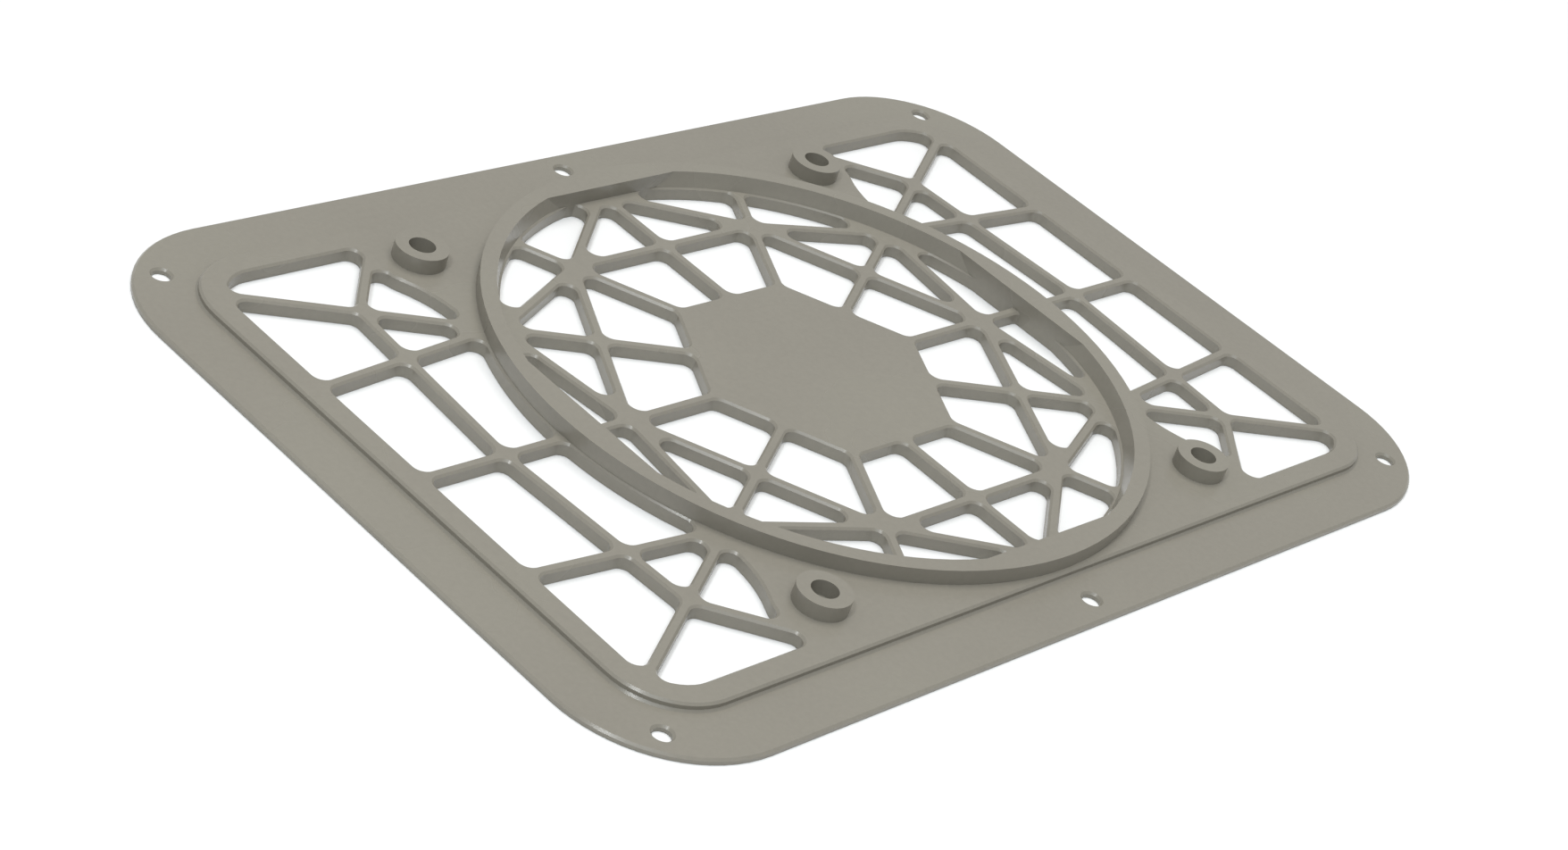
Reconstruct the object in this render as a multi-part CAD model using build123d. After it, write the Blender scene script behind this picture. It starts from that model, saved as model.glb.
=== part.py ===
from build123d import *

import os
from math import cos, radians, sin

# Fan cover: a thin flange, a raised panel, ribbed windows, a star-shaped
# grille under the fan, and the low ring and four bosses that the fan sits on.
# Millimetres, +Z up, origin on the flat underside below the fan's centre.

# Flange
flange_length = 221.5
flange_width = 151.0
flange_corner_radius = 25.0
flange_thickness = 1.1
edge_chamfer = 0.4

# Raised panel
panel_inset = 11.15
panel_height = 1.5

# Screw holes through the flange
screw_hole_diameter = 3.4
corner_hole_inset = 10.75
middle_hole_inset = 5.0

# Ring and bosses for the fan
fan_hole_pitch = 105.0
seat_height = 3.0
boss_diameter = 10.0
boss_hole_diameter = 5.0
ring_diameter = 127.0
ring_bore_at_top = 120.8
ring_margin = 0.4
ring_flat_span = 116.0

# Grille inside the ring
grille_diameter = 118.0
rib_width = 2.0
cell_corner_radius = 2.0
sector_angle = 30.0
hub_face_distance = 23.8
star_rib_angle = 7.5
star_tip_reach = 0.75

# Windows between the ring and the panel's frame
frame_width = 5.0
boss_pad_diameter = 17.4
pad_blend_radius = 25.0
node_distance = 85.3
upright_rib_angle = 3.95
brace_rib_angle = 43.6
cross_rib_distance = 35.1
cross_rib_angle = 84.85

# Levels and half sizes
panel_top = flange_thickness + panel_height
seat_top = panel_top + seat_height
half_rib = rib_width / 2
panel_length = flange_length - 2 * panel_inset
panel_width = flange_width - 2 * panel_inset
panel_corner_radius = flange_corner_radius - panel_inset
frame_x = panel_length / 2 - frame_width
frame_y = panel_width / 2 - frame_width
frame_corner_radius = panel_corner_radius - frame_width
boss_offset = fan_hole_pitch / 2
ring_radius = ring_diameter / 2

# The star's tips lie just past the grille's rim, and its inner corners are
# where the web ribs meet.
star_tip_distance = grille_diameter / 2 + star_tip_reach
star_rib_distance = star_tip_distance * cos(radians(sector_angle + star_rib_angle))
star_node_distance = star_rib_distance / cos(radians(star_rib_angle))
web_rib_distance = star_node_distance * cos(radians(sector_angle))

# The upright and brace ribs of the windows meet on a spoke.
upright_rib_distance = node_distance * cos(radians(sector_angle - upright_rib_angle))
brace_rib_distance = node_distance * cos(radians(brace_rib_angle - sector_angle))

# Plan lines are pairs: the angle of the line's normal, and its distance from
# the origin along that normal.
axis_side = (90, half_rib)
spoke_under = (sector_angle - 90, half_rib)
spoke_over = (sector_angle + 90, half_rib)


def both_sides(angle, distance):
    """The inner and outer side of a rib whose centre line is given."""
    return (angle, distance - half_rib), (angle, distance + half_rib)


def outline(*lines):
    """The plan shape whose sides lie on these lines, taken in order."""
    corners = []
    for first, second in zip(lines, lines[1:] + lines[:1]):
        a, b = radians(first[0]), radians(second[0])
        x = (first[1] * sin(b) - second[1] * sin(a)) / sin(b - a)
        y = (second[1] * cos(a) - first[1] * cos(b)) / sin(b - a)
        corners.append((x, y))
    return make_face(Polyline(*corners, close=True))


def rounded(cell):
    """Rounds the corners by shrinking the plan and growing it back."""
    core = offset(cell, -cell_corner_radius, kind=Kind.INTERSECTION)
    return offset(core, cell_corner_radius, kind=Kind.ARC)


def all_around(cells, steps):
    """Mirrors the cells across X and repeats both sets about the centre."""
    halves = cells + [mirror(cell, Plane.XZ) for cell in cells]
    return [Rot(0, 0, step * 360 / steps) * cell for step in range(steps) for cell in halves]


def grille_cells():
    """Three cells of a 30 degree sector, between a spoke and a star tip."""
    web_inner, web_outer = both_sides(sector_angle, web_rib_distance)
    star_inner, star_outer = both_sides(-star_rib_angle, star_rib_distance)
    hub_side = (sector_angle, hub_face_distance)
    far_side = (0, grille_diameter)
    rim = Circle(grille_diameter / 2)
    return [
        rounded(outline(hub_side, axis_side, web_inner, spoke_under)),
        rounded(outline(web_outer, star_inner, spoke_under)),
        rounded(outline(star_outer, axis_side, far_side, spoke_under) & rim),
    ]


def pad_plan():
    """Solid ground around the ring, flowing out to one boss."""
    ring_pad = ring_radius + ring_margin
    boss_pad = boss_pad_diameter / 2
    boss = Vector(boss_offset, boss_offset)
    to_ring = ring_pad + pad_blend_radius
    to_boss = boss_pad + pad_blend_radius
    along = (to_ring**2 - to_boss**2 + boss.length**2) / (2 * boss.length)
    aside = (to_ring**2 - along**2) ** 0.5
    pad = Circle(ring_pad) + Pos(boss.X, boss.Y) * Circle(boss_pad)
    blends = [Vector(along, side).rotate(Axis.Z, 45) for side in (-aside, aside)]
    pad += make_face(Polyline((0, 0), blends[0], boss, blends[1], close=True))
    for blend in blends:
        pad -= Pos(blend.X, blend.Y) * Circle(pad_blend_radius)
    return pad


def window_cells():
    """The six windows of one quarter, clear of the ring and its boss."""
    upright_inner, upright_outer = both_sides(upright_rib_angle, upright_rib_distance)
    brace_inner, brace_outer = both_sides(brace_rib_angle, brace_rib_distance)
    cross_lower, cross_upper = both_sides(cross_rib_angle, cross_rib_distance)
    boss_line = (0, boss_offset)
    frame_side = (0, frame_x)
    frame_top = (90, frame_y)
    frame = RectangleRounded(2 * frame_x, 2 * frame_y, frame_corner_radius)
    pad = pad_plan()
    cells = [
        outline(axis_side, upright_inner, cross_lower, boss_line) - pad,
        outline(cross_upper, upright_inner, spoke_under),
        outline(spoke_over, brace_inner, frame_top, boss_line) - pad,
        outline(spoke_over, brace_outer, frame_top, frame_side) & frame,
        outline(cross_upper, upright_outer, spoke_under, frame_side) & frame,
        outline(axis_side, upright_outer, cross_lower, frame_side),
    ]
    return [rounded(cell) for cell in cells]


def plate():
    """Flange and raised panel, with chamfers on the steps."""
    flange_plan = RectangleRounded(flange_length, flange_width, flange_corner_radius)
    panel_plan = RectangleRounded(panel_length, panel_width, panel_corner_radius)
    body = extrude(flange_plan, flange_thickness) + extrude(panel_plan, panel_top)
    levels = body.edges().filter_by(Plane.XY).group_by(Axis.Z)
    return chamfer(levels[1] + levels[2], edge_chamfer)


def openings():
    """Straight-walled cutters for the grille and the windows."""
    cells = all_around(grille_cells(), 6) + all_around(window_cells(), 2)
    return [extrude(cell, panel_top, dir=(0, 0, 1)) for cell in cells]


def corners_at(x, y):
    """Four places, one in each quarter."""
    return [(x, y), (-x, y), (-x, -y), (x, -y)]


def fan_seat():
    """Ring with four flats, and the bosses for the fan's screws."""
    bore_at_foot = grille_diameter / 2 + ring_margin
    ring = Pos(0, 0, panel_top) * extrude(Circle(ring_radius), seat_height)
    bore = Pos(0, 0, panel_top + seat_height / 2) * Cone(
        bore_at_foot, ring_bore_at_top / 2, seat_height
    )
    flats = Circle(ring_radius) - Rectangle(ring_flat_span, ring_flat_span)
    boss = Circle(boss_diameter / 2) - Circle(boss_hole_diameter / 2)
    bosses = [
        Pos(x, y, panel_top) * extrude(boss, seat_height)
        for x, y in corners_at(boss_offset, boss_offset)
    ]
    return [ring - bore, extrude(flats, seat_top)] + bosses


def screw_holes():
    """Chamfered holes near the flange's corners and long sides."""
    corner_x = flange_length / 2 - corner_hole_inset
    corner_y = flange_width / 2 - corner_hole_inset
    middle_y = flange_width / 2 - middle_hole_inset
    hole_radius = screw_hole_diameter / 2
    hole = CounterSinkHole(
        hole_radius, hole_radius + edge_chamfer, flange_thickness, counter_sink_angle=90
    )
    places = corners_at(corner_x, corner_y) + [(0, middle_y), (0, -middle_y)]
    return [Pos(x, y, flange_thickness) * hole for x, y in places]


fan_cover = plate() - openings() + fan_seat() - screw_holes()
fan_cover.label = "fan_cover"

os.makedirs("parts", exist_ok=True)
export_step(fan_cover, "parts/fan_cover.step")
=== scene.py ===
import math

import bmesh
import bpy
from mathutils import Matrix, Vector


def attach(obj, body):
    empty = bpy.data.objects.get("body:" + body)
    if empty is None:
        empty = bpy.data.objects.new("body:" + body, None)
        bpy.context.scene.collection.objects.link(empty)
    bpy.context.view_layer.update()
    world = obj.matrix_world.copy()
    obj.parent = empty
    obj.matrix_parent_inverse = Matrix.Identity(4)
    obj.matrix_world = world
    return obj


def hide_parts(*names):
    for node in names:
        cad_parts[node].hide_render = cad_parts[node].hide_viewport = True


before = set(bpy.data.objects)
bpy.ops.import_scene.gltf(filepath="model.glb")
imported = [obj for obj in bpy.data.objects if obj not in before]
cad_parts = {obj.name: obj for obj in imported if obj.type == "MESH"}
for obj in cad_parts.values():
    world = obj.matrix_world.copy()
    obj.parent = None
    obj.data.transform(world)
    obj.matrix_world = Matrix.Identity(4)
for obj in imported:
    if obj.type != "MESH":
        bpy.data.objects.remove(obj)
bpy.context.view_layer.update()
scene = bpy.context.scene

# Metres, +Z up.  The cover lies on the floor with its fan seat upwards.
FLOOR_Z = -0.00005
FLOOR_SIZE = 6.0
PANEL_TOP = 0.0026

# Distance of the ring's four inner flats from the centre, and the radii of the
# grille's rim and of the solid ground that the windows leave around the ring.
FLAT = 0.058
GRILLE_RIM = 0.059
RING_GROUND = 0.0639

# Width of the chamfer round an opening, and of its part beside the ring.
RIM_CHAMFER = 0.0004
RIM_CHAMFER_AT_RING = 0.0003

# Points, levels and radii that differ by less than these are taken as one.
SAME_POINT = 1e-6
SAME_LEVEL = 1e-5
SAME_RADIUS = 1e-4

# Cosines.  A direction lies along an axis above the first, across it below the
# second, and leads roughly the same way above the third.
ALONG = 0.99
ACROSS = 0.01
SAME_WAY = 0.5

# Neighbouring faces that turn by less than this are shaded as one surface.
SMOOTH_ANGLE = math.radians(12)

# The part of a noise's range that a ramp spreads its two colours over.
RAMP_SPAN = (0.3, 0.7)


def new_material(name):
    material = bpy.data.materials.new(name)
    material.use_nodes = True
    nodes = material.node_tree.nodes
    return material, nodes, material.node_tree.links, nodes["Principled BSDF"]


def add(nodes, kind, **values):
    """Adds a node and sets its properties and its input sockets by name."""
    node = nodes.new(kind)
    for key, value in values.items():
        if hasattr(node, key):
            setattr(node, key, value)
        else:
            node.inputs[key.replace("_", " ")].default_value = value
    return node


def ramp(nodes, *colours):
    """A ramp between two colours."""
    node = nodes.new("ShaderNodeValToRGB")
    for element, position, colour in zip(node.color_ramp.elements, RAMP_SPAN, colours):
        element.position = position
        element.color = (*colour, 1.0)
    return node


def plastic():
    """Matte grey-beige plastic with a fine moulded grain."""
    material, nodes, links, shader = new_material("moulded_plastic")
    shader.inputs["IOR"].default_value = 1.46
    shader.inputs["Specular IOR Level"].default_value = 0.42
    where = nodes.new("ShaderNodeTexCoord")

    # Slow drift of the colour over the part, and a faint fine mottle.
    drift = add(nodes, "ShaderNodeTexNoise", Scale=22.0, Detail=3.0, Roughness=0.5)
    mottle = add(nodes, "ShaderNodeTexNoise", Scale=900.0, Detail=2.0, Roughness=0.6)
    drift_colour = ramp(nodes, (0.241, 0.224, 0.187), (0.256, 0.239, 0.199))
    mottle_colour = ramp(nodes, (0.955, 0.955, 0.955), (1.0, 1.0, 1.0))
    blend = add(nodes, "ShaderNodeMix", data_type="RGBA", blend_type="MULTIPLY")
    blend.inputs["Factor"].default_value = 1.0
    links.new(where.outputs["Object"], drift.inputs["Vector"])
    links.new(where.outputs["Object"], mottle.inputs["Vector"])
    links.new(drift.outputs["Fac"], drift_colour.inputs["Fac"])
    links.new(mottle.outputs["Fac"], mottle_colour.inputs["Fac"])
    links.new(drift_colour.outputs["Color"], blend.inputs["A"])
    links.new(mottle_colour.outputs["Color"], blend.inputs["B"])
    links.new(blend.outputs["Result"], shader.inputs["Base Color"])

    # The sheen wanders a little with the same drift.
    sheen = add(nodes, "ShaderNodeMapRange", To_Min=0.24, To_Max=0.30)
    links.new(drift.outputs["Fac"], sheen.inputs["Value"])
    links.new(sheen.outputs["Result"], shader.inputs["Roughness"])

    # Spark-eroded grain about a fifth of a millimetre across.
    grain = add(nodes, "ShaderNodeTexNoise", Scale=4200.0, Detail=2.0, Roughness=0.55)
    bump = add(nodes, "ShaderNodeBump", Strength=0.22, Distance=0.00004)
    links.new(where.outputs["Object"], grain.inputs["Vector"])
    links.new(grain.outputs["Fac"], bump.inputs["Height"])
    links.new(bump.outputs["Normal"], shader.inputs["Normal"])
    return material


def paper():
    """The pale floor."""
    material, nodes, links, shader = new_material("pale_floor")
    shader.inputs["Roughness"].default_value = 0.75
    shader.inputs["Specular IOR Level"].default_value = 0.15
    where = nodes.new("ShaderNodeTexCoord")
    fibre = add(nodes, "ShaderNodeTexNoise", Scale=60.0, Detail=4.0, Roughness=0.6)
    tone = ramp(nodes, (0.825, 0.825, 0.823), (0.845, 0.845, 0.843))
    links.new(where.outputs["Object"], fibre.inputs["Vector"])
    links.new(fibre.outputs["Fac"], tone.inputs["Fac"])
    links.new(tone.outputs["Color"], shader.inputs["Base Color"])
    return material


def once(items):
    """The items in their order, each of them once."""
    return list(dict.fromkeys(items))


def is_top(face):
    """True for a face of the panel's top."""
    level = face.calc_center_median().z
    return face.normal.z > ALONG and abs(level - PANEL_TOP) < SAME_LEVEL


def on_flat(face):
    """True for a wall at one of the ring's four inner flats."""
    centre = face.calc_center_median()
    return any(
        abs(abs(centre[axis]) - FLAT) < SAME_POINT and abs(face.normal[axis]) > ALONG
        for axis in (0, 1)
    )


def is_opening_wall(face):
    """True for a wall that an opening has from the underside to the panel's top."""
    heights = [vert.co.z for vert in face.verts]
    whole = min(heights) < SAME_LEVEL and abs(max(heights) - PANEL_TOP) < SAME_LEVEL
    return whole and abs(face.normal.z) < ACROSS and not on_flat(face)


def rim_edges(mesh):
    """The edges between the panel's top and an opening's wall.

    Each comes with the direction that leads into the material.
    """
    found = {}
    for edge in mesh.edges:
        top = [face for face in edge.link_faces if is_top(face)]
        wall = [face for face in edge.link_faces if is_opening_wall(face)]
        if top and wall:
            found[edge] = -wall[0].normal
    return found


def rim_width(vert):
    """The chamfer's width at a rim corner."""
    radius = vert.co.xy.length
    beside_ring = any(abs(radius - rim) < SAME_RADIUS for rim in (GRILLE_RIM, RING_GROUND))
    return RIM_CHAMFER_AT_RING if beside_ring else RIM_CHAMFER


def room_at_flats(vert, move):
    """The share of a grille corner's move that stops at the ring's flats."""
    room = 1.0
    if vert.co.xy.length < GRILLE_RIM + SAME_RADIUS:
        for axis in (0, 1):
            reach = abs(vert.co[axis] + move[axis]) - abs(vert.co[axis])
            if reach > 0:
                room = min(room, (FLAT - abs(vert.co[axis])) / reach)
    return max(room, 0.0)


def rim_move(vert, rims):
    """The chamfer's depth at a rim corner, and the corner's move in plan.

    Where the rim ends at a flat, the corner moves along the flat's foot, and
    the point at that foot's other end comes third.
    """
    inward = [rims[edge] for edge in vert.link_edges if edge in rims]
    width = rim_width(vert)
    if len(inward) == 2:
        move = (inward[0] + inward[1]) * (width / (1 + inward[0].dot(inward[1])))
        room = room_at_flats(vert, move)
        return width * room, move * room, None
    for edge in vert.link_edges:
        if any(map(is_top, edge.link_faces)) and any(map(on_flat, edge.link_faces)):
            other = edge.other_vert(vert)
            along = (other.co - vert.co).normalized()
            if along.dot(inward[0]) > SAME_WAY:
                return width, along * (width / along.dot(inward[0])), other
    return 0.0, Vector((0, 0, 0)), None


def cut_chamfers(mesh):
    """Cuts the chamfers along the rims of the openings.

    Each rim moves over the panel's top, away from its opening, and a copy of
    it stays lower down on the wall.  New faces join the two, a last one closes
    each chamfer at a flat, and the walls are made anew up to the lower rim.
    """
    rims = rim_edges(mesh)
    corners = once(vert for edge in rims for vert in edge.verts)
    moves = {vert: rim_move(vert, rims) for vert in corners}
    lower = {}
    for vert, (depth, _, _) in moves.items():
        below = vert.co - Vector((0, 0, depth))
        lower[vert] = mesh.verts.new(below) if depth > SAME_POINT else vert

    outlines = [(a, b, lower[b], lower[a]) for a, b in (edge.verts for edge in rims)]
    closed = set()
    for vert, (_, _, other) in moves.items():
        if other and other not in closed:
            closed.add(vert)
            outlines.append((lower[vert], vert, other, lower.get(other, other)))
    walls = once(face for vert in corners for face in vert.link_faces if not is_top(face))
    outlines += [[lower.get(vert, vert) for vert in face.verts] for face in walls]

    bmesh.ops.delete(mesh, geom=walls, context="FACES_ONLY")
    for outline in outlines:
        mesh.faces.new(once(outline))
    bare = [edge for edge in mesh.edges if not edge.link_faces]
    bmesh.ops.delete(mesh, geom=bare, context="EDGES")
    for vert, (_, move, _) in moves.items():
        vert.co += move
    bmesh.ops.recalc_face_normals(mesh, faces=mesh.faces)
    bmesh.ops.dissolve_degenerate(mesh, dist=SAME_POINT, edges=mesh.edges)
    mesh.normal_update()


def mend_slivers(mesh):
    """Redraws the panel's top where a rim's move has turned a narrow triangle over."""
    turned = [
        face for face in mesh.faces
        if face.normal.z < -SAME_WAY and face.verts[0].co.z > PANEL_TOP / 2
    ]
    for face in turned:
        short = min(face.edges, key=lambda edge: edge.calc_length())
        around = once(near for vert in short.verts for near in vert.link_faces if is_top(near))
        whole = bmesh.ops.dissolve_faces(mesh, faces=[face, *around])["region"]
        bmesh.ops.triangulate(mesh, faces=whole)


def chamfered_cover(node):
    """The cover with a chamfer along the rim of every window and grille cell."""
    mesh = bmesh.new()
    mesh.from_mesh(node.data)
    bmesh.ops.remove_doubles(mesh, verts=mesh.verts, dist=SAME_POINT)
    mesh.normal_update()
    cut_chamfers(mesh)
    mend_slivers(mesh)

    data = bpy.data.meshes.new("cover")
    mesh.to_mesh(data)
    mesh.free()

    # The solid's own corner normals don't fit the new faces.
    if "custom_normal" in data.attributes:
        data.attributes.remove(data.attributes["custom_normal"])
    data.polygons.foreach_set("use_smooth", [True] * len(data.polygons))
    data.set_sharp_from_angle(angle=SMOOTH_ANGLE)
    cover = bpy.data.objects.new("cover", data)
    scene.collection.objects.link(cover)
    return cover


def add_floor():
    bpy.ops.mesh.primitive_plane_add(size=FLOOR_SIZE, location=(0.0, 0.0, FLOOR_Z))
    floor = bpy.context.object
    floor.name = "floor"
    floor.data.materials.append(paper())
    return floor


def add_light(name, place, size, watts, colour):
    """A round light that points at the origin."""
    data = bpy.data.lights.new(name, "AREA")
    data.shape = "DISK"
    data.color = colour
    data.size = size
    data.energy = watts
    light = bpy.data.objects.new(name, data)
    light.location = place
    light.rotation_euler = (-Vector(place)).to_track_quat("-Z", "Y").to_euler()
    scene.collection.objects.link(light)


def add_world(colour, strength):
    world = bpy.data.worlds.new("studio")
    world.use_nodes = True
    background = world.node_tree.nodes["Background"]
    background.inputs["Color"].default_value = (*colour, 1.0)
    background.inputs["Strength"].default_value = strength
    scene.world = world


def add_camera(place, degrees, lens):
    """The scene's camera, turned by degrees about X, Y and Z."""
    data = bpy.data.cameras.new("camera")
    data.sensor_width = 36.0
    data.lens = lens
    data.clip_start = 0.01
    data.clip_end = 20.0
    camera = bpy.data.objects.new("camera", data)
    camera.location = place
    camera.rotation_euler = [math.radians(angle) for angle in degrees]
    scene.collection.objects.link(camera)
    scene.camera = camera


cover = chamfered_cover(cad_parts["fan_cover"])
cover.data.materials.append(plastic())
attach(cover, "root")
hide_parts("fan_cover")

floor = add_floor()

# A broad warm light from above, a cooler one from the front left, and a small
# one whose reflection makes the gleams in the chamfers' corners.
add_light("key", place=(1.05, 0.78, 6.3), size=4.8, watts=243.0, colour=(1.0, 0.98, 0.945))
add_light("fill", place=(-3.0, -2.34, 6.75), size=4.8, watts=144.0, colour=(0.84, 0.93, 1.0))
add_light("gleam", place=(-0.91, -0.16, 1.18), size=0.14, watts=5.2, colour=(0.94, 0.975, 1.0))
add_world(colour=(0.965, 0.985, 1.0), strength=0.45)

# The photograph's own viewpoint.
add_camera(
    place=(-0.444086, -0.299020, 0.307461), degrees=(57.5512, -17.4808, -45.0595), lens=77.9
)
scene.view_settings.view_transform = "Standard"
